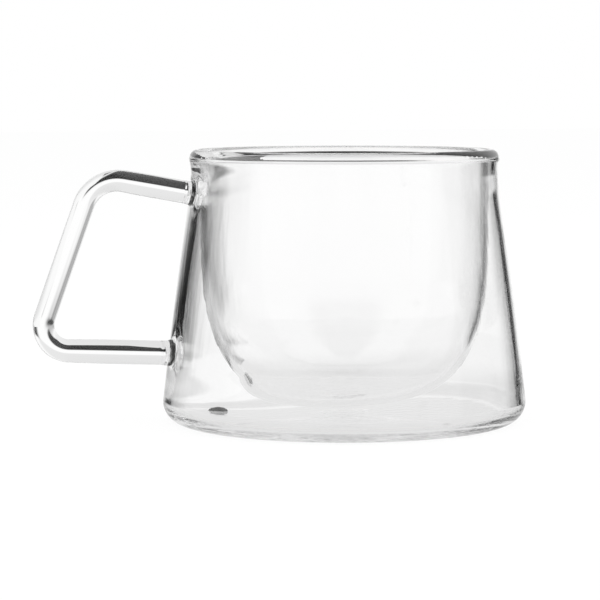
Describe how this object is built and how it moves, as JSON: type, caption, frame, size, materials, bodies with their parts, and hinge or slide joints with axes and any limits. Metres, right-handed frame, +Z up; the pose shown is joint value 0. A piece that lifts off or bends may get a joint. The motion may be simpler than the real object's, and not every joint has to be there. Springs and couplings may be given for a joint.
{
  "type": "double walled glass cup",
  "caption": "Clear glass cup with a rounded inner bowl held by its lip inside a conical outer wall, and a bent glass rod handle at one side.",
  "frame": {"origin": "middle of the standing face, on the cup's axis", "axes": "+Z up the cup to its lip, the handle lies along -X, +Y behind the handle's plane on the vent's side"},
  "size_m": [0.126, 0.0922, 0.0691],
  "materials": {
    "glass": "clear polished borosilicate",
    "silicone": "satin"
  },
  "bodies": {
    "root": {"inner_cup": "glass", "outer_wall": "glass", "base_disc": "glass", "rim_bead": "glass", "handle_rod": "glass", "upper_handle_weld": "glass", "lower_handle_weld": "glass", "vent_plug": "silicone"}
  },
  "joints": []
}
